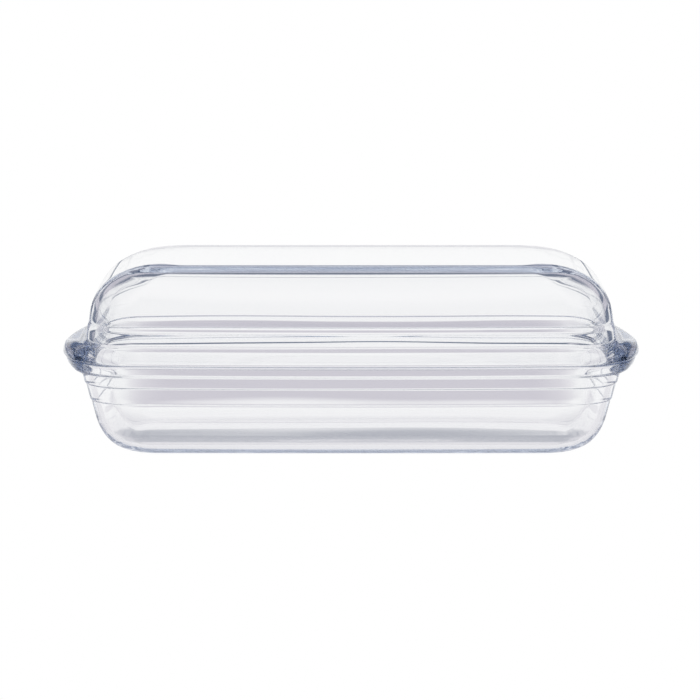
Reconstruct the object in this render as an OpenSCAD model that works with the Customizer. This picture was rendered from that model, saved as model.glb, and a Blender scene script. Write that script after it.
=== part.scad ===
// Covered loaf dish in clear heat-resistant glass.
// Two pressings: a deep dish with a beaded rim, and a domed lid whose flange sits on that rim.
// Each pressing carries its own crescent lug at both ends, and two mould steps round its outside.
// Origin: middle of the base, on the surface it stands on. X is the length, Y the width, Z is up.

/* [Rims] */
// Length of both rims, over the middle of the ends and without the lugs
rim_l = 329; // [240:1:420]
// Width of both rims, over the middle of the long sides
rim_w = 160; // [130:1:220]
// Corner radius of the rims, seen from above
rim_r = 29; // [24:1:44]
// How far each long side bulges out between its ends
side_bow = 6.5; // [0:0.5:14]
// How far each end bulges out between its sides
end_bow = 1; // [0:0.5:5]
// Rounding of the rims' outer and inner edges
edge_r = 1; // [0.4:0.1:1.4]
// Height of the bead round the dish's rim
dish_bead_h = 6.4; // [4:0.1:7.5]
// How far the dish's wall sets in under its bead
dish_bead_in = 1; // [0.4:0.1:1.6]
// Height of the slope between the dish's bead and its wall
dish_bead_rise = 1.6; // [1:0.1:2.4]
// Height of the lid's flange, to the middle of the slope that runs out into its wall
lid_flange_h = 5.6; // [4:0.1:7]
// How far the lid's wall sets in over its flange
lid_flange_in = 2.4; // [1:0.1:3]
// Height of the slope between the lid's flange and its wall
lid_flange_rise = 9; // [2:0.1:10]

/* [Glass] */
// Thickness of the walls, past both mould steps
wall_t = 4.5; // [3:0.1:7]
// Thickness of the dish's base and of the lid's top
floor_t = 5; // [3:0.1:8]
// How far the wall sets in at each mould step
step_in = 0.6; // [0.3:0.1:1.2]
// Height of the slope of a mould step
step_rise = 0.9; // [0.6:0.1:2]
// Height of the slope of the lid's second mould step, which is softer than the others
soft_rise = 3.5; // [1.2:0.1:5]

/* [Dish] */
// Height of the dish, from the base to its rim
dish_h = 56; // [44:0.5:90]
// Draft of the dish's walls, from upright
dish_draft = 13; // [6:0.5:16]
// Distance of the dish's first mould step below its rim
dish_step_1 = 13.7; // [10:0.1:16]
// Distance of the dish's second mould step below its rim
dish_step_2 = 24; // [18:0.5:26]
// Height of the curve between the dish's end walls and base
base_rise_end = 22; // [14:0.5:26]
// Distance that this curve runs in under the ends
base_run_end = 25; // [14:0.5:30]
// Height of the curve between the dish's side walls and base
base_rise_side = 13; // [9:0.5:24]
// Distance that this curve runs in under the long sides
base_run_side = 13; // [9:0.5:26]
// Corner radius of the flat base
base_r = 16; // [10:0.5:22]

/* [Lid] */
// Height of the lid, from its rim to its top
lid_h = 58; // [50:0.5:95]
// Draft of the lid's walls, from upright
lid_draft = 7.5; // [5:0.5:14]
// Distance of the lid's first mould step above its rim
lid_step_1 = 11.2; // [9:0.1:15]
// Distance of the lid's second mould step above its rim
lid_step_2 = 21; // [17:0.5:25]
// Height of the curve between the lid's end walls and top
crown_rise_end = 28.5; // [16:0.5:32]
// Distance that this curve runs in over the ends
crown_run_end = 44.5; // [24:0.5:50]
// Height of the curve between the lid's side walls and top
crown_rise_side = 8.5; // [8:0.5:24]
// Distance that this curve runs in over the long sides
crown_run_side = 9; // [8:0.5:30]
// Corner radius of the flat top
top_r = 13; // [6:0.5:20]

/* [Lugs] */
// Length of each lug along the end, between the points where it meets the wall
lug_chord = 116; // [80:1:150]
// How far each of the lid's lugs stands out from the end of the rim
lid_lug_reach = 11; // [8:0.5:24]
// Thickness of the lid's lugs, where they meet the wall
lid_lug_t = 9.6; // [7:0.1:16]
// Height of the upright edge round the lid's lugs, over which their tops are rounded
lid_lug_edge = 2.8; // [1.5:0.1:5]
// How far each of the dish's lugs stands out from the end of the rim
dish_lug_reach = 9.5; // [8:0.5:24]
// Thickness of the dish's lugs, where they meet the wall
dish_lug_t = 7.4; // [6:0.1:14]
// Height of the upright edge round the dish's lugs, under which their backs are rounded
dish_lug_edge = 2.4; // [1.5:0.1:5]
// Radius of the fillet between a lug and the wall
lug_fillet = 2.5; // [1:0.1:4]

/* [Fit of the lid] */
// How far the lid's locating lip reaches down inside the dish
lip_h = 2; // [1.5:0.5:6]
// Width of the lip
lip_t = 1.3; // [1.2:0.1:3]
// Clearance all round between the lip and the dish
lip_gap = 0.5; // [0.4:0.1:1.5]

/* [Hidden] */

// Pieces of outline in each quarter: half an end, one corner, half a long side
n_end = 6;
n_arc = 9;
n_side = 6;
n_quarter = n_end + n_arc + n_side;
n_loop = 4 * n_quarter;
// Pieces in each curve between a wall and a flat, and in each curve of a lug
n_curve = 7;
n_lug = 5;
// Levels closer than this become one
least_gap = 0.15;
// The least corner radius, which a thick wall leaves inside
least_r = 2;

// Each way that the outside sets in, from the rim on: [height from the rim, distance, height of its slope]
dish_steps = [
    [dish_bead_h, dish_bead_in, dish_bead_rise],
    [dish_step_1, step_in, step_rise],
    [dish_step_2, step_in, step_rise]
];
lid_steps = [
    [lid_flange_h, lid_flange_in, lid_flange_rise],
    [lid_step_1, step_in, step_rise],
    [lid_step_2, step_in, soft_rise]
];
// Distance of the inside from the rim's edge, before the draft
dish_t = wall_t + dish_bead_in + 2 * step_in;
lid_t = wall_t + lid_flange_in + 2 * step_in;
// What the lip's lower edges are rounded by
lip_edge = lip_t / 3;
lip_in = dish_t + lip_gap + lip_h * tan(dish_draft) + lip_t;

// ---- Shape of one pressing: [height, draft, [rise, run] at the ends, the same at the sides, flat's corner]
dish_form = [dish_h, dish_draft, [base_rise_end, base_run_end], [base_rise_side, base_run_side], base_r];
lid_form = [lid_h, lid_draft, [crown_rise_end, crown_run_end], [crown_rise_side, crown_run_side], top_r];
// The same inside: each curve starts at the same height and ends on the inner flat
function inner(form) = [
    form[0] - floor_t,
    form[1],
    [for (c = form[2]) c - floor_t],
    [for (c = form[3]) c - floor_t],
    form[4]
];

// How far the plain wall has come in, h above or below the rim, with that curve at its end
function set_in(h, form, curve) = let (
    straight = form[0] - curve[0],
    v = min(1, max(0, (h - straight) / curve[0])),
    drafted = h <= straight ? h : straight + (h - straight) * (1 - v)
) drafted * tan(form[1]) + curve[1] * (1 - sqrt(1 - v * v));

// Share of the way in from the rim to the flat, which sets the corner radius and the bulge
function share(h, form) = set_in(h, form, form[2]) / set_in(form[0], form, form[2]);

// A level of a surface: [height from the rim, set in at the ends, at the sides, share, corner radius, lug]
function level(h, form, extra, lug = 0, thinner = 0) = let (part = share(max(0, h), form)) [
    h,
    extra + set_in(max(0, h), form, form[2]),
    extra + set_in(max(0, h), form, form[3]),
    part,
    max(least_r, rim_r + (form[4] - rim_r) * part - thinner),
    lug
];
// A level at another height h, with its outline taken inward by extra
function moved(lv, h, extra) = [h, lv[1] + extra, lv[2] + extra, lv[3], max(least_r, lv[4] - extra), lv[5]];
// A level of the inside, whose corners are tighter by the wall
function inner_level(h, form, extra) = level(h, form, extra, 0, wall_t);

// Heights along one curve at the end of a wall, closer together where it turns fastest
function curve_h(form, curve) = [
    for (i = [0:n_curve]) form[0] - curve[0] * (1 - sin(90 * i / n_curve))
];

// A list of heights from the lowest up, without those that all but repeat another
function in_order(heights) = len(heights) < 2 ? heights : let (
    h = heights[floor(len(heights) / 2)]
) concat(
    in_order([for (g = heights) if (g <= h - least_gap) g]),
    [h],
    in_order([for (g = heights) if (g >= h + least_gap) g])
);
// The same with its two ends fixed
function between(low, high, heights) = concat(
    [low],
    in_order([for (h = heights) if (h >= low + least_gap && h <= high - least_gap) h]),
    [high]
);

// How far the steps have set the outside in, h from the rim
function stepped(h, steps) = sum([for (s = steps) s[1] * min(1, max(0, (h - s[0]) / s[2] + 0.5))]);
function sum(list, i = 0) = i < len(list) ? list[i] + sum(list, i + 1) : 0;

// Share of a lug's reach, h from the rim: upright edge, rounding, fillet; lug is [reach, thickness, edge]
function lug_share(h, lug) = let (
    fillet = lug_fillet / lug[0],
    v = (h - lug[2]) / (lug[1] - lug[2]),
    f = (lug[1] + lug_fillet - h) / lug_fillet
) v <= 0 ? 1
    : v <= 1 ? fillet + (1 - fillet) * sqrt(1 - v * v)
    : f > 0 ? fillet * (1 - sqrt(1 - f * f))
    : 0;
function lug_h(lug) = concat(
    [for (i = [0:n_lug]) lug[2] + (lug[1] - lug[2]) * sin(90 * i / n_lug)],
    [for (i = [1:n_lug]) lug[1] + lug_fillet * (1 - cos(90 * i / n_lug))]
);

// The outside, from its flat to its rim
function outside_h(form, steps, lug) = between(edge_r, form[0], concat(
    curve_h(form, form[2]),
    curve_h(form, form[3]),
    [for (s = steps) each [s[0] - s[2] / 2, s[0] + s[2] / 2]],
    lug_h(lug)
));
function outside(form, steps, lug) = let (hs = outside_h(form, steps, lug)) concat(
    // A lug stands out from the rim's edge, so it also makes up for what the steps have set in
    [for (i = [len(hs) - 1:-1:0]) let (h = hs[i], in = stepped(h, steps))
        level(h, form, in, lug_share(h, lug) * (lug[0] + in))],
    [moved(level(0, form, 0, lug[0]), 0, edge_r)]
);
// The inside, from just below the rim to its flat
function inside(form, from_h, t) = let (in = inner(form)) [
    for (h = between(from_h, in[0], concat(curve_h(in, in[2]), curve_h(in, in[3])))) inner_level(h, in, t)
];
// The height at which the lid's drafted inner wall has come in as far as its lip
lip_top = max(edge_r, (lip_in - lid_t) / tan(lid_draft));
// The lip, which follows the dish's inner wall at the clearance
function lip_level(h, extra) = moved(inner_level(h, inner(dish_form), dish_t), -h, extra);
lid_lip = [
    lip_level(0, lip_gap),
    lip_level(lip_h - lip_edge, lip_gap),
    lip_level(lip_h, lip_gap + lip_edge),
    lip_level(lip_h, lip_gap + lip_t - lip_edge),
    lip_level(lip_h - lip_edge, lip_gap + lip_t + lip_edge * tan(dish_draft)),
];

// ---- From levels to a closed solid
function quarter_point(i, a, b, r) =
    i <= n_end ? [a, (b - r) * i / n_end]
    : i >= n_end + n_arc ? [(a - r) * (n_quarter - i) / n_side, b]
    : let (t = 90 * (i - n_end) / n_arc) [a - r + r * cos(t), b - r + r * sin(t)];
// One point of a level, i along the quarter
function level_point(i, lv) = let (
    a = rim_l / 2 - end_bow - lv[1],
    b = rim_w / 2 - side_bow - lv[2],
    p = quarter_point(i, a, b, lv[4]),
    bowed = p + (1 - lv[3]) * [end_bow * (1 - pow(p.y / b, 2)), side_bow * (1 - pow(p.x / a, 2))],
    t = 90 * min(1, max(0, (i - n_end) / n_arc)),
    lug = lv[5] * max(0, 1 - pow(2 * p.y / lug_chord, 2))
) bowed + lug * [cos(t), sin(t)];
function loop(lv, z) = [
    for (k = [0:n_loop - 1]) let (
        q = floor(k / n_quarter),
        i = k % n_quarter,
        p = level_point(q % 2 == 0 ? i : n_quarter - i, lv)
    ) [q == 0 || q == 3 ? p.x : -p.x, q < 2 ? p.y : -p.y, z]
];
// A pressing from its levels, up is 1 for a wall that rises from the rim and -1 for one that goes down
module pressing(levels, up) {
    last = len(levels) - 1;
    middles = [for (j = [0, last]) [0, 0, dish_h + up * levels[j][0]]];
    points = concat([for (lv = levels) each loop(lv, dish_h + up * lv[0])], middles);
    sides = [
        for (j = [0:last - 1], k = [0:n_loop - 1]) let (
            m = (k + 1) % n_loop,
            a = j * n_loop
        ) each [[a + k, a + n_loop + k, a + n_loop + m], [a + k, a + n_loop + m, a + m]]
    ];
    // The flats are fans about their middles
    flats = [
        for (k = [0:n_loop - 1]) let (
            m = (k + 1) % n_loop,
            a = last * n_loop
        ) each [[k, m, a + n_loop], [a + m, a + k, a + n_loop + 1]]
    ];
    faces = concat(sides, flats);
    polyhedron(points, up < 0 ? faces : [for (f = faces) [f[2], f[1], f[0]]], 8);
}

module dish() {
    color([0.80, 0.86, 0.92, 0.5])
    pressing(
        concat(
            outside(dish_form, dish_steps, [dish_lug_reach, dish_lug_t, dish_lug_edge]),
            [moved(inner_level(0, inner(dish_form), dish_t), 0, -edge_r)],
            inside(dish_form, edge_r, dish_t)
        ),
        -1
    );
}

module lid() {
    color([0.82, 0.88, 0.94, 0.5])
    pressing(
        concat(
            outside(lid_form, lid_steps, [lid_lug_reach, lid_lug_t, lid_lug_edge]),
            lid_lip,
            inside(lid_form, lip_top, lid_t)
        ),
        1
    );
}

dish();
lid();
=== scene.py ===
"""Covered glass loaf dish: a pressed glass dish, its domed lid and a studio, laid out as an add-on."""

import math

import bmesh
import bpy
from bpy.props import FloatProperty, FloatVectorProperty, IntProperty, PointerProperty
from bpy.types import Operator, Panel, PropertyGroup
from bpy.utils import register_class, unregister_class
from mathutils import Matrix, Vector, noise


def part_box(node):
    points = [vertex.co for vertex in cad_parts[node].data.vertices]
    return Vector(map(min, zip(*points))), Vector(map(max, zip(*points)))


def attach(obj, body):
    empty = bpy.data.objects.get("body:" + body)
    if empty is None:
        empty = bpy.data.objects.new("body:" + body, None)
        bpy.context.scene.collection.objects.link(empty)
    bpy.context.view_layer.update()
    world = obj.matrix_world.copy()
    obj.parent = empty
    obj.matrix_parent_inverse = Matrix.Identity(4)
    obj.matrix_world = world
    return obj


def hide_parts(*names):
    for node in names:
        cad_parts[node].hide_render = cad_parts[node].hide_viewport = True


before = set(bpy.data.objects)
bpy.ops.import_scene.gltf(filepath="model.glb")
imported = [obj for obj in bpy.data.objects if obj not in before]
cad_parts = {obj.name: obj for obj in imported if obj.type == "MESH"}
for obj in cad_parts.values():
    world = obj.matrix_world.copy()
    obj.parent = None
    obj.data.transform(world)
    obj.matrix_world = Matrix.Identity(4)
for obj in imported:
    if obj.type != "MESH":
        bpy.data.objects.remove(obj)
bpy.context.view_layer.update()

bl_info = {
    "name": "Covered Glass Loaf Dish",
    "version": (1, 0, 0),
    "blender": (4, 5, 0),
    "location": "View3D > Sidebar > Loaf Dish",
    "description": "Models a clear glass loaf dish with a domed glass lid in a white studio",
    "category": "Object",
}

DISH_LOW, DISH_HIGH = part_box("dish")
LID_LOW, LID_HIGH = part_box("lid")
# The rims meet at the top of the dish
RIM_Z = DISH_HIGH.z
MM = 0.001
# Levels of a pressing closer than this become one
LEAST_GAP = 0.15 * MM
# Corners seen from above are no tighter than this
LEAST_CORNER = 2 * MM
# A step's rounded edges spread it over this many times the height of its slope
STEP_SPREAD = 1.15
# Where a step's levels lie, in heights of its slope from its middle
STEP_SPOTS = (-1.4, -0.65, -0.35, 0, 0.35, 0.65, 1.4)
# Pieces round a rim's edge, and round a lug's back or its fillet
EDGE_PIECES = 4
LUG_PIECES = 6
# The first ring on a flat lies this share of the way in, so that the flat is level all over
FIRST_RING = 0.02
# Slow waves for each metre of length, width and height, and what brings their noise up to about 1
WAVES_EACH_WAY = (11, 14, 34)
WAVE_GAIN = 1.4
# The waves start this far from the rim, and reach their full height over this distance more
WAVE_START = 8 * MM
WAVE_GROW = 10 * MM
# The floor lies this far below the dish, so that the two never share a plane
FLOOR_GAP = 0.5 * MM
# The inside's first level lies this many edge roundings from the dish's rim
INSIDE_FROM = 3
# Part of a rounding's radius that its middle lies in from the corner
ROUND_CUT = 0.3
# A colour Mix node's sockets
MIX_FIRST, MIX_SECOND, MIX_RESULT = 6, 7, 2
# The painted shade under the dish is full out to this share of its reach
UNDER_FULL = 0.1
# The table turns slate between these distances to the side, in metres
TABLE_SLATE = (0.55, 1.1)
# Where the surroundings change, by how far a direction looks up or aside, each from 0 to 1
GREY_UP = (0.14, 0.26)
GREY_ASIDE = (0.2, 0.45)
BAND_FROM = (0.13, 0.17)
BAND_TO = (0.30, 0.24)
SLATE_UP = (0.40, 0.60)
SLATE_ASIDE = (0.65, 0.95)
TOP_LIGHT = (0.85, 0.95)


class RimSizes(PropertyGroup):
    """The outline that both rims share."""

    length: FloatProperty(name="Length", description="Over the middle of the ends, without the lugs",
                          default=329 * MM, unit="LENGTH")
    width: FloatProperty(name="Width", description="Over the middle of the long sides",
                         default=160 * MM, unit="LENGTH")
    corner: FloatProperty(name="Corner", description="Corner radius seen from above",
                          default=29 * MM, unit="LENGTH")
    side_bow: FloatProperty(name="Side Bow", description="How far a long side bulges out",
                            default=6.5 * MM, unit="LENGTH")
    end_bow: FloatProperty(name="End Bow", description="How far an end bulges out",
                           default=1 * MM, unit="LENGTH")
    edge: FloatProperty(name="Edge", description="Rounding of the rims' edges",
                        default=1 * MM, unit="LENGTH")


class GlassSizes(PropertyGroup):
    """Thicknesses and mould steps of both pressings."""

    wall: FloatProperty(name="Wall", description="Thickness of the walls past both steps",
                        default=4.5 * MM, unit="LENGTH")
    flat: FloatProperty(name="Flat", description="Thickness of the base and of the lid's top",
                        default=5 * MM, unit="LENGTH")
    step: FloatProperty(name="Step", description="How far the wall sets in at a mould step",
                        default=0.6 * MM, unit="LENGTH")
    wave: FloatProperty(name="Wave", description="Height of the slow waves in the pressed glass",
                        default=0.2 * MM, unit="LENGTH")


class FormSizes(PropertyGroup):
    """The shape of one pressing's wall, from its rim to its flat, and of its lugs."""

    height: FloatProperty(name="Height", description="From the rim to the flat",
                          default=DISH_HIGH.z - DISH_LOW.z, unit="LENGTH")
    draft: FloatProperty(name="Draft", description="Slope of the wall from upright",
                         default=math.radians(13), subtype="ANGLE")
    bead: FloatProperty(name="Bead", description="Height of the bead or flange round the rim",
                        default=6.4 * MM, unit="LENGTH")
    bead_in: FloatProperty(name="Bead Depth", description="How far the wall sets in past the bead or flange",
                           default=1 * MM, unit="LENGTH")
    bead_rise: FloatProperty(name="Bead Rise", description="Height of the slope by the bead or flange",
                             default=1.6 * MM, unit="LENGTH")
    step_1: FloatProperty(name="First Step", description="Distance of the first step from the rim",
                          default=13.7 * MM, unit="LENGTH")
    step_2: FloatProperty(name="Second Step", description="Distance of the second step from the rim",
                          default=24 * MM, unit="LENGTH")
    rise_1: FloatProperty(name="First Slope", description="Height of the first step's slope",
                          default=0.9 * MM, unit="LENGTH")
    rise_2: FloatProperty(name="Second Slope", description="Height of the second step's slope",
                          default=0.9 * MM, unit="LENGTH")
    rise_end: FloatProperty(name="End Rise", description="Height of the curve between end wall and flat",
                            default=22 * MM, unit="LENGTH")
    run_end: FloatProperty(name="End Run", description="How far that curve runs in",
                           default=25 * MM, unit="LENGTH")
    rise_side: FloatProperty(name="Side Rise", description="Height of the curve between side wall and flat",
                             default=13 * MM, unit="LENGTH")
    run_side: FloatProperty(name="Side Run", description="How far that curve runs in",
                            default=13 * MM, unit="LENGTH")
    corner: FloatProperty(name="Flat Corner", description="Corner radius of the flat",
                          default=16 * MM, unit="LENGTH")
    lug_reach: FloatProperty(name="Lug Reach", description="How far a lug stands out from the rim",
                             default=9.5 * MM, unit="LENGTH")
    lug_thick: FloatProperty(name="Lug Thickness", description="Thickness of a lug where it meets the wall",
                             default=7.4 * MM, unit="LENGTH")
    lug_edge: FloatProperty(name="Lug Edge", description="Height of the upright edge round a lug",
                            default=2.4 * MM, unit="LENGTH")


class LugSizes(PropertyGroup):
    """What all four crescent lugs share, and the lid's locating lip."""

    chord: FloatProperty(name="Chord", description="Length of a lug along the end",
                         default=116 * MM, unit="LENGTH")
    fillet: FloatProperty(name="Fillet", description="Radius of the fillet between a lug and the wall",
                          default=2.5 * MM, unit="LENGTH")
    lip: FloatProperty(name="Lip", description="How far the lip reaches down inside the dish",
                       default=2 * MM, unit="LENGTH")
    lip_width: FloatProperty(name="Lip Width", description="Width of the lip",
                             default=1.3 * MM, unit="LENGTH")
    lip_gap: FloatProperty(name="Lip Gap", description="Clearance between the lip and the dish",
                           default=0.5 * MM, unit="LENGTH")


class MeshDetail(PropertyGroup):
    """How finely the pressings are cut up."""

    end: IntProperty(name="Ends", description="Pieces along half an end", default=8)
    corner: IntProperty(name="Corners", description="Pieces round a corner", default=16)
    side: IntProperty(name="Sides", description="Pieces along half a long side", default=16)
    curve: IntProperty(name="Curves", description="Pieces in the curve between wall and flat", default=11)
    flat: IntProperty(name="Flats", description="Rings across a flat", default=7)
    levels: IntProperty(name="Levels", description="Levels of subdivision", default=1)


class StudioLook(PropertyGroup):
    """Camera, light and glass."""

    distance: FloatProperty(name="Distance", description="From the camera to the dish",
                            default=2.6, unit="LENGTH")
    elevation: FloatProperty(name="Elevation", description="Of the camera above the horizon",
                             default=math.radians(7.9), subtype="ANGLE")
    frame_width: FloatProperty(name="Frame Width", description="Width seen at the dish",
                               default=0.427, unit="LENGTH")
    aim_below: FloatProperty(name="Aim Below", description="How far below the rims the camera aims",
                             default=0.3 * MM, unit="LENGTH")
    shift: FloatProperty(name="Shift", description="Sideways shift of the lens, in frame widths",
                         default=-0.0015)
    floor: FloatProperty(name="Floor", description="Length of the floor's sides", default=40, unit="LENGTH")
    bounces: IntProperty(name="Bounces", description="How often light may bounce in the glass", default=64)
    ior: FloatProperty(name="IOR", description="Refractive index of the glass", default=1.474)
    tint: FloatVectorProperty(name="Tint", description="Colour of the glass in the mass",
                              default=(0.40, 0.52, 0.72), subtype="COLOR")
    tint_density: FloatProperty(name="Tint Density", description="How strongly the mass is tinted",
                                default=4.0)
    polish_scale: FloatProperty(name="Polish Scale", description="Patches of polish for each metre",
                                default=14.0)
    haze: FloatProperty(name="Haze", description="Roughness where the polish is least", default=0.02)
    backdrop: FloatProperty(name="Backdrop", description="Brightness of the white surroundings",
                            default=0.97)
    dark: FloatVectorProperty(name="Dark", description="Colour of the dark surroundings",
                              default=(0.12, 0.15, 0.22), subtype="COLOR")
    # The table's shade settings below paint the dish's shadow onto the glowing table; the same colour also
    # greys the surroundings
    shade: FloatVectorProperty(name="Shade", description="Colour of the table's shaded parts",
                               default=(0.60, 0.58, 0.64), subtype="COLOR")
    shade_near: FloatProperty(name="Shade Near", description="From the dish's middle to the strip of shade",
                              default=0.158, unit="LENGTH")
    shade_far: FloatProperty(name="Shade Far", description="From the dish's middle to the strip's far edge",
                             default=0.285, unit="LENGTH")
    shade_wide: FloatProperty(name="Shade Wide", description="Half the strip's length along the dish",
                              default=0.15, unit="LENGTH")
    shade_soft: FloatProperty(name="Shade Soft", description="Width over which the shade fades out",
                              default=0.03, unit="LENGTH")
    under: FloatProperty(name="Under", description="How far the shade under the dish reaches out behind it",
                         default=0.14, unit="LENGTH")
    under_strength: FloatProperty(name="Under Strength", description="How deep the shade under the dish is",
                                  default=0.45)


GROUPS = (
    ("loafdish_rim", RimSizes),
    ("loafdish_glass", GlassSizes),
    ("loafdish_dish", FormSizes),
    ("loafdish_lid", FormSizes),
    ("loafdish_lug", LugSizes),
    ("loafdish_mesh", MeshDetail),
    ("loafdish_look", StudioLook),
)


def settings(name):
    """One of the scene's property groups."""
    return getattr(bpy.context.scene, "loafdish_" + name)


# ---- The pressings' shape


def set_in(h, form, rise, run):
    """How far a plain wall with that curve at its end has come in at h from the rim."""
    straight = form.height - rise
    turn = min(1.0, max(0.0, (h - straight) / rise))
    drafted = h if h <= straight else straight + (h - straight) * (1 - turn)
    return drafted * math.tan(form.draft) + run * (1 - math.sqrt(1 - turn * turn))


def whole_wall(sizes):
    """Distance of the inside from the rim's edge, before the draft."""
    glass = settings("glass")
    return glass.wall + sizes.bead_in + 2 * glass.step


class Form:
    """Plain copy of a wall's shape, which the inside changes."""

    def __init__(self, sizes, inward=0.0):
        self.height = sizes.height - inward
        self.draft = sizes.draft
        self.rise_end = sizes.rise_end - inward
        self.run_end = sizes.run_end - inward
        self.rise_side = sizes.rise_side - inward
        self.run_side = sizes.run_side - inward
        self.corner = sizes.corner

    def end_in(self, h):
        return set_in(h, self, self.rise_end, self.run_end)

    def side_in(self, h):
        return set_in(h, self, self.rise_side, self.run_side)


class Level:
    """One level of a surface: its height from the rim and its outline."""

    def __init__(self, h, form, extra=0.0, lug=0.0, at=None, tighter=0.0):
        wall_h = max(0.0, h if at is None else at)
        rim = settings("rim").corner
        self.h = h
        self.end = extra + form.end_in(wall_h)
        self.side = extra + form.side_in(wall_h)
        self.share = form.end_in(wall_h) / form.end_in(form.height)
        self.corner = max(LEAST_CORNER, rim + (form.corner - rim) * self.share - tighter)
        self.lug = lug
        self.scale = 1.0


def quarter_point(i, a, b, r):
    """Point i of a rounded rectangle's quarter, from the middle of its end to that of its side."""
    m = settings("mesh")
    if i <= m.end:
        return a, (b - r) * i / m.end
    if i >= m.end + m.corner:
        return (a - r) * (m.end + m.corner + m.side - i) / m.side, b
    t = math.pi / 2 * (i - m.end) / m.corner
    return a - r + r * math.cos(t), b - r + r * math.sin(t)


def level_point(i, level):
    """Point i of a level's quarter, with the bulges and the lug."""
    rim, lug, m = settings("rim"), settings("lug"), settings("mesh")
    a = rim.length / 2 - rim.end_bow - level.end
    b = rim.width / 2 - rim.side_bow - level.side
    x, y = quarter_point(i, a, b, level.corner)
    keep = 1 - level.share
    x, y = x + keep * rim.end_bow * (1 - (y / b) ** 2), y + keep * rim.side_bow * (1 - (x / a) ** 2)
    t = math.pi / 2 * min(1, max(0, (i - m.end) / m.corner))
    out = level.lug * max(0.0, 1 - (2 * y / lug.chord) ** 2)
    return (x + out * math.cos(t)) * level.scale, (y + out * math.sin(t)) * level.scale


def loop_points(level, up):
    """All points of a level, anticlockwise from +X."""
    m = settings("mesh")
    quarter = m.end + m.corner + m.side
    points = []
    for k in range(4 * quarter):
        q, i = divmod(k, quarter)
        x, y = level_point(i if q % 2 == 0 else quarter - i, level)
        points.append(Vector((x if q in (0, 3) else -x, y if q < 2 else -y, RIM_Z + up * level.h)))
    return points


def quarter_turn(pieces):
    """Angles from 0 to a right angle, both ends included."""
    return [math.pi / 2 * i / pieces for i in range(pieces + 1)]


def curve_heights(form, rise, pieces):
    """Heights along the curve between a wall and the flat, closest where it turns fastest."""
    return [form.height - rise * (1 - math.sin(t)) for t in quarter_turn(pieces)[:-1]]


def between(low, high, heights):
    """Heights in order from low to high, without those that all but repeat another."""
    kept = [low]
    for h in sorted(heights):
        if h > kept[-1] + LEAST_GAP and h < high - LEAST_GAP:
            kept.append(h)
    return kept + [high]


def flat_levels(form, extra, tighter=0.0):
    """Levels that close in over the flat, the smallest last, half a piece from the middle."""
    n = settings("mesh").flat
    levels = []
    for share in [FIRST_RING] + [i / (n + 0.5) for i in range(1, n + 1)]:
        level = Level(form.height, form, extra, tighter=tighter)
        level.scale = 1 - share
        levels.append(level)
    return levels


def steps_of(sizes):
    """Each way that the outside sets in, from the rim on: height, distance, height of its slope."""
    glass = settings("glass")
    return (
        (sizes.bead, sizes.bead_in, sizes.bead_rise),
        (sizes.step_1, glass.step, sizes.rise_1),
        (sizes.step_2, glass.step, sizes.rise_2),
    )


def stepped(h, sizes):
    """How far the steps have set the outside in at h from the rim, with rounded edges and feet."""
    total = 0.0
    for middle, deep, rise in steps_of(sizes):
        t = min(1.0, max(0.0, (h - middle) / (STEP_SPREAD * rise) + 0.5))
        total += deep * t * t * (3 - 2 * t)
    return total


def lug_share(h, sizes):
    """Share of a lug's reach at h from the rim: an upright edge, a rounded back and a fillet."""
    lug = settings("lug")
    fillet = lug.fillet / sizes.lug_reach
    v = (h - sizes.lug_edge) / (sizes.lug_thick - sizes.lug_edge)
    f = (sizes.lug_thick + lug.fillet - h) / lug.fillet
    if v <= 0:
        return 1.0
    if v <= 1:
        return fillet + (1 - fillet) * math.sqrt(1 - v * v)
    return fillet * (1 - math.sqrt(1 - f * f)) if f > 0 else 0.0


def outside_level(h, form, sizes):
    """A level of the outside. A lug stands out from the rim's edge, past what the steps have set in."""
    deep = stepped(h, sizes)
    return Level(h, form, deep, lug_share(h, sizes) * (sizes.lug_reach + deep))


def outside(sizes):
    """Levels of the outside, from the flat to the rim."""
    lug, edge, pieces = settings("lug"), settings("rim").edge, settings("mesh").curve
    form = Form(sizes)
    turns = quarter_turn(LUG_PIECES)[1:]
    heights = curve_heights(form, form.rise_end, pieces) + curve_heights(form, form.rise_side, pieces)
    for middle, _, rise in steps_of(sizes):
        heights += [middle + spot * rise for spot in STEP_SPOTS]
    heights += [sizes.lug_edge + (sizes.lug_thick - sizes.lug_edge) * math.sin(t) for t in turns]
    heights += [sizes.lug_thick + lug.fillet * (1 - math.cos(t)) for t in turns]
    levels = [outside_level(h, form, sizes) for h in between(edge, form.height, heights)]
    flat = flat_levels(form, stepped(form.height, sizes))
    return flat[::-1] + levels[::-1] + rounded_edge(form, sizes.lug_reach)[1:]


def rounded_edge(form, lug_reach):
    """The rim's outer edge, rounded over into the flat where the rims meet."""
    edge = settings("rim").edge
    return [
        Level(edge * (1 - math.sin(t)), form, edge * (1 - math.cos(t)), lug_reach, at=edge)
        for t in quarter_turn(EDGE_PIECES)
    ]


def inside(sizes, from_h):
    """Levels of the inside, from near the rim to the flat."""
    glass, pieces = settings("glass"), settings("mesh").curve
    form = Form(sizes, glass.flat)
    thick = whole_wall(sizes)
    straight = form.height - form.rise_end
    heights = [from_h + (straight - from_h) * v for v in (0.25, 0.5, 0.75)]
    heights += curve_heights(form, form.rise_end, pieces) + curve_heights(form, form.rise_side, pieces)
    levels = [Level(h, form, thick, tighter=glass.wall) for h in between(from_h, form.height, heights)]
    return levels + flat_levels(form, thick, glass.wall)


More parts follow.
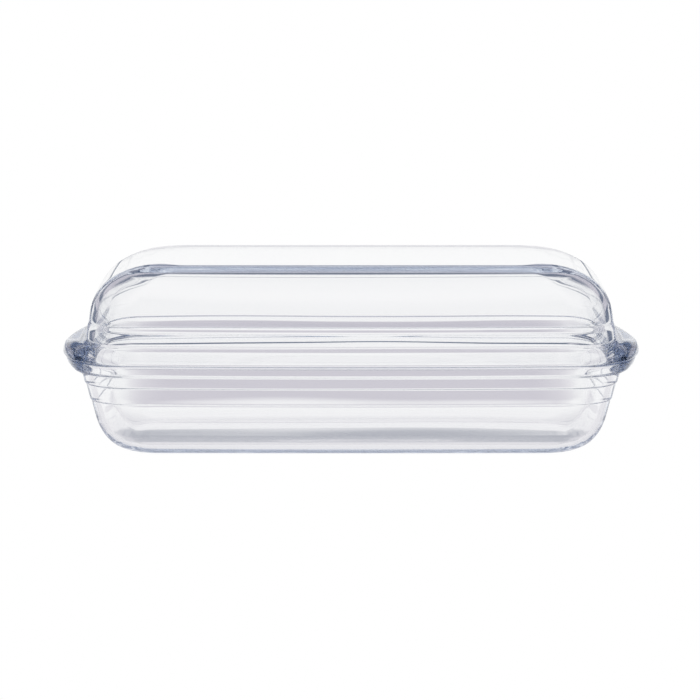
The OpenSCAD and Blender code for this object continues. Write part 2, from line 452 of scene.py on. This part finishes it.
def lid_lip():
    """The lip, which follows the dish's inner wall at its clearance, rounded by a third of its width."""
    glass, lug = settings("glass"), settings("lug")
    form = Form(settings("dish"), glass.flat)
    inner = whole_wall(settings("dish")) + lug.lip_gap
    low, wide = lug.lip, lug.lip_width
    r = wide / 3
    cut = ROUND_CUT * r
    spots = (
        (0.0, 0.0), (0.6 * low, 0.0), (low - r, 0.0), (low - cut, cut),
        (low, r), (low, wide - r), (low - cut, wide - cut), (low - r, wide),
    )
    return [Level(-h, form, inner + x, at=h, tighter=glass.wall + lug.lip_gap + x) for h, x in spots]


# ---- From levels to meshes


def next_loop(bm, loop):
    """Extrudes a loop of vertices and returns the new one in the same order."""
    edges = [bm.edges.get((v, loop[i - 1])) for i, v in enumerate(loop)]
    made = bmesh.ops.extrude_edge_only(bm, edges=edges)["geom"]
    fresh = {v for v in made if isinstance(v, bmesh.types.BMVert)}
    return [next(e.other_vert(v) for e in v.link_edges if e.other_vert(v) in fresh) for v in loop]


def place(loop, points):
    """Moves a loop's vertices to their points."""
    for v, p in zip(loop, points):
        v.co = p


def close_flat(bm, loop):
    """Closes the middle of a flat with a fan."""
    made = bmesh.ops.contextual_create(bm, geom=[bm.edges.get((v, loop[i - 1])) for i, v in enumerate(loop)])
    bmesh.ops.poke(bm, faces=made["faces"])


def slow_wave(p, seed):
    """Height of the pressed glass's slow waves at a point, from -1 to 1: long lengthwise, short in height."""
    along, across, high = WAVES_EACH_WAY
    return noise.noise(Vector((p.x * along + seed, p.y * across, p.z * high))) * WAVE_GAIN


def press(name, levels, up, seed):
    """A pressing from its levels; up is 1 for a wall that rises from the rim and -1 for one going down."""
    bm = bmesh.new()
    points = [loop_points(level, up) for level in levels]
    start = bmesh.ops.create_circle(bm, cap_ends=False, segments=len(points[0]), radius=1)["verts"]
    loop = list(start)
    place(loop, points[0])
    close_flat(bm, loop)
    for row in points[1:]:
        loop = next_loop(bm, loop)
        place(loop, row)
    close_flat(bm, loop)
    bmesh.ops.recalc_face_normals(bm, faces=bm.faces)
    bm.normal_update()
    ripple(bm, seed)
    mesh = bpy.data.meshes.new(name)
    bm.to_mesh(mesh)
    bm.free()
    mesh.shade_smooth()
    piece = bpy.data.objects.new(name, mesh)
    bpy.context.collection.objects.link(piece)
    smooth = piece.modifiers.new("Smooth Glass", "SUBSURF")
    smooth.levels = settings("mesh").levels
    smooth.render_levels = settings("mesh").levels
    return piece


def ripple(bm, seed):
    """Waves in the inner face of a pressing's walls, fading out towards its rim and its flat."""
    height = settings("glass").wave
    for v in bm.verts:
        from_rim = v.co - Vector((0, 0, RIM_Z))
        if v.normal.dot(from_rim) < 0:
            share = min(1.0, max(0.0, (abs(from_rim.z) - WAVE_START) / WAVE_GROW))
            v.co += v.normal * height * share * (1 - abs(v.normal.z)) * slow_wave(v.co, seed)


# ---- Materials


def node(tree, kind, **values):
    """A new shader node with its values set."""
    made = tree.nodes.new(kind)
    for key, value in values.items():
        setattr(made, key, value)
    return made


def clear_glass():
    """Clear oven glass, faintly blue in the mass, with a polish that varies a little."""
    found = bpy.data.materials.get("clear_oven_glass")
    if found:
        return found
    look = settings("look")
    material = bpy.data.materials.new("clear_oven_glass")
    material.use_nodes = True
    tree = material.node_tree
    shader = tree.nodes["Principled BSDF"]
    shader.inputs["Base Color"].default_value = (1, 1, 1, 1)
    shader.inputs["Transmission Weight"].default_value = 1
    shader.inputs["IOR"].default_value = look.ior
    place_on = node(tree, "ShaderNodeTexCoord")
    polish = node(tree, "ShaderNodeTexNoise")
    polish.inputs["Scale"].default_value = look.polish_scale
    polish.inputs["Detail"].default_value = 2
    spread = node(tree, "ShaderNodeMapRange")
    spread.inputs["To Max"].default_value = look.haze
    tree.links.new(place_on.outputs["Object"], polish.inputs["Vector"])
    tree.links.new(polish.outputs["Fac"], spread.inputs["Value"])
    tree.links.new(spread.outputs["Result"], shader.inputs["Roughness"])
    mass = node(tree, "ShaderNodeVolumeAbsorption")
    mass.inputs["Color"].default_value = (*look.tint, 1)
    mass.inputs["Density"].default_value = look.tint_density
    tree.links.new(mass.outputs["Volume"], tree.nodes["Material Output"].inputs["Volume"])
    return material


def smooth(tree, source, low, high):
    """A smooth share, from 0 at low to 1 at high."""
    share = node(tree, "ShaderNodeMapRange", interpolation_type="SMOOTHSTEP")
    tree.links.new(source, share.inputs["Value"])
    share.inputs["From Min"].default_value = low
    share.inputs["From Max"].default_value = high
    return share.outputs["Result"]


def math_of(tree, operation, *sources):
    """A Math node on sockets or numbers."""
    made = node(tree, "ShaderNodeMath", operation=operation)
    for slot, source in zip(made.inputs, sources):
        if isinstance(source, (int, float)):
            slot.default_value = source
        else:
            tree.links.new(source, slot)
    return made.outputs[0]


def mixed(tree, share, first, second):
    """A colour between two, each a colour or a socket."""
    made = node(tree, "ShaderNodeMix", data_type="RGBA")
    tree.links.new(share, made.inputs["Factor"])
    for slot, source in ((made.inputs[MIX_FIRST], first), (made.inputs[MIX_SECOND], second)):
        if isinstance(source, bpy.types.NodeSocket):
            tree.links.new(source, slot)
        else:
            slot.default_value = (*source, 1)
    return made.outputs[MIX_RESULT]


def product(tree, first, *others):
    """Several sockets multiplied together."""
    for other in others:
        first = math_of(tree, "MULTIPLY", first, other)
    return first


def white_table():
    """A glowing white table, slate far to the sides, with the dish's shadow painted in a strip behind it and
    painted shade under it.
    """
    look = settings("look")
    material = bpy.data.materials.new("white_table")
    material.use_nodes = True
    tree = material.node_tree
    tree.nodes.remove(tree.nodes["Principled BSDF"])
    split = node(tree, "ShaderNodeSeparateXYZ")
    tree.links.new(node(tree, "ShaderNodeTexCoord").outputs["Object"], split.inputs[0])
    across = math_of(tree, "ABSOLUTE", split.outputs["X"])
    along = split.outputs["Y"]
    half = look.shade_soft / 2
    # Painted shadow: the strip behind the dish and the shade under it are painted into the table's glow, for
    # rays that are not camera rays
    strip = product(
        tree,
        smooth(tree, along, look.shade_near - half, look.shade_near + half),
        smooth(tree, along, look.shade_far + half, look.shade_far - half),
        smooth(tree, across, look.shade_wide + look.shade_soft, look.shade_wide - look.shade_soft),
    )
    under = smooth(tree, math_of(tree, "ABSOLUTE", along), look.under, UNDER_FULL * look.under)
    shaded = math_of(tree, "MAXIMUM", strip, math_of(tree, "MULTIPLY", under, look.under_strength))
    top = mixed(tree, shaded, (look.backdrop,) * 3, tuple(look.shade))
    painted = mixed(tree, smooth(tree, across, *TABLE_SLATE), top, tuple(look.dark))
    seen = node(tree, "ShaderNodeLightPath").outputs["Is Camera Ray"]
    glow = node(tree, "ShaderNodeEmission")
    tree.links.new(mixed(tree, seen, painted, (1, 1, 1)), glow.inputs["Color"])
    tree.links.new(glow.outputs[0], tree.nodes["Material Output"].inputs["Surface"])
    return material


def studio_light():
    """A bright horizon, a dark band, grey above it, dark slate higher up and aside, and a light on top."""
    look = settings("look")
    world = bpy.data.worlds.new("studio")
    bpy.context.scene.world = world
    world.use_nodes = True
    tree = world.node_tree
    split = node(tree, "ShaderNodeSeparateXYZ")
    tree.links.new(node(tree, "ShaderNodeTexCoord").outputs["Generated"], split.inputs[0])
    up = split.outputs["Z"]
    across = math_of(tree, "ABSOLUTE", split.outputs["X"])
    aside = smooth(tree, across, *SLATE_ASIDE)
    grey = math_of(tree, "MAXIMUM", smooth(tree, up, *GREY_UP), smooth(tree, across, *GREY_ASIDE))
    high = product(tree, smooth(tree, up, *SLATE_UP), smooth(tree, up, *TOP_LIGHT[::-1]))
    band = product(tree, smooth(tree, up, *BAND_FROM), smooth(tree, up, *BAND_TO))
    low = mixed(tree, grey, (look.backdrop,) * 3, tuple(look.shade))
    top = mixed(tree, smooth(tree, up, *TOP_LIGHT), low, (look.backdrop,) * 3)
    dark = math_of(tree, "MAXIMUM", math_of(tree, "MAXIMUM", aside, high), band)
    around = mixed(tree, dark, top, tuple(look.dark))
    seen = node(tree, "ShaderNodeLightPath").outputs["Is Camera Ray"]
    tree.links.new(mixed(tree, seen, around, (1, 1, 1)), tree.nodes["Background"].inputs["Color"])


# ---- Operators


class LOAFDISH_OT_dish(Operator):
    """Models the glass dish"""

    bl_idname = "loafdish.dish"
    bl_label = "Glass Dish"

    def execute(self, context):
        sizes = settings("dish")
        form = Form(sizes, settings("glass").flat)
        thick, wall = whole_wall(sizes), settings("glass").wall
        edge = settings("rim").edge
        rim = [
            Level(edge * (1 - math.cos(t)), form, thick - edge * (1 - math.sin(t)), at=0, tighter=wall)
            for t in quarter_turn(EDGE_PIECES)
        ]
        levels = outside(sizes) + rim + inside(sizes, INSIDE_FROM * edge)
        piece = press("glass_dish", levels, up=-1, seed=3.0)
        piece.data.materials.append(clear_glass())
        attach(piece, "dish")
        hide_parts("dish")
        return {"FINISHED"}


class LOAFDISH_OT_lid(Operator):
    """Models the glass lid"""

    bl_idname = "loafdish.lid"
    bl_label = "Glass Lid"

    def execute(self, context):
        sizes, dish, lug = settings("lid"), settings("dish"), settings("lug")
        lip_in = whole_wall(dish) + lug.lip_gap + lug.lip * math.tan(dish.draft) + lug.lip_width
        top = (lip_in - whole_wall(sizes)) / math.tan(sizes.draft)
        piece = press("glass_lid", outside(sizes) + lid_lip() + inside(sizes, top), up=1, seed=8.0)
        piece.data.materials.append(clear_glass())
        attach(piece, "lid")
        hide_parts("lid")
        return {"FINISHED"}


class LOAFDISH_OT_stage(Operator):
    """Sets up the floor, the light and the camera"""

    bl_idname = "loafdish.stage"
    bl_label = "Studio"

    def execute(self, context):
        look = settings("look")
        scene = context.scene
        scene.view_settings.view_transform = "Standard"
        studio_light()
        bpy.ops.mesh.primitive_plane_add(size=look.floor, location=(0, 0, -FLOOR_GAP))
        floor = context.object
        floor.name = "floor"
        floor.data.materials.append(white_table())
        lens = bpy.data.cameras.new("camera")
        lens.lens = lens.sensor_width * look.distance / look.frame_width
        camera = bpy.data.objects.new("camera", lens)
        scene.collection.objects.link(camera)
        target = Vector((0, 0, RIM_Z - look.aim_below))
        away = Vector((0, -math.cos(look.elevation), math.sin(look.elevation)))
        camera.location = target + look.distance * away
        camera.rotation_euler = (-away).to_track_quat("-Z", "Y").to_euler()
        lens.shift_x = look.shift
        scene.camera = camera
        for kind in ("max_bounces", "transmission_bounces", "glossy_bounces"):
            setattr(scene.cycles, kind, look.bounces)
        return {"FINISHED"}


class LOAFDISH_PT_panel(Panel):
    """Lists the loaf dish's operators"""

    bl_idname = "LOAFDISH_PT_panel"
    bl_label = "Loaf Dish"
    bl_space_type = "VIEW_3D"
    bl_region_type = "UI"
    bl_category = "Loaf Dish"

    def draw(self, context):
        for operator in (LOAFDISH_OT_stage, LOAFDISH_OT_dish, LOAFDISH_OT_lid):
            self.layout.operator(operator.bl_idname)


CLASSES = (
    RimSizes, GlassSizes, FormSizes, LugSizes, MeshDetail, StudioLook,
    LOAFDISH_OT_stage, LOAFDISH_OT_dish, LOAFDISH_OT_lid, LOAFDISH_PT_panel,
)


def register():
    for kind in CLASSES:
        register_class(kind)
    for name, group in GROUPS:
        setattr(bpy.types.Scene, name, PointerProperty(type=group))


def unregister():
    for name, group in GROUPS:
        delattr(bpy.types.Scene, name)
    for kind in reversed(CLASSES):
        unregister_class(kind)


def shape_lid():
    """The lid shares the dish's property group, so its own values are set here."""
    lid = settings("lid")
    lid.height = LID_HIGH.z - RIM_Z
    lid.draft = math.radians(7.5)
    lid.bead = 5.6 * MM
    lid.bead_in = 2.4 * MM
    lid.bead_rise = 9 * MM
    lid.step_1 = 11.2 * MM
    lid.step_2 = 21 * MM
    lid.rise_2 = 3.5 * MM
    lid.rise_end = 28.5 * MM
    lid.run_end = 44.5 * MM
    lid.rise_side = 8.5 * MM
    lid.run_side = 9 * MM
    lid.corner = 13 * MM
    lid.lug_reach = 11 * MM
    lid.lug_thick = 9.6 * MM
    lid.lug_edge = 2.8 * MM


def main():
    """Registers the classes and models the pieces."""
    register()
    shape_lid()
    bpy.ops.loafdish.stage()
    bpy.ops.loafdish.dish()
    bpy.ops.loafdish.lid()


if __name__ == "__main__":
    main()
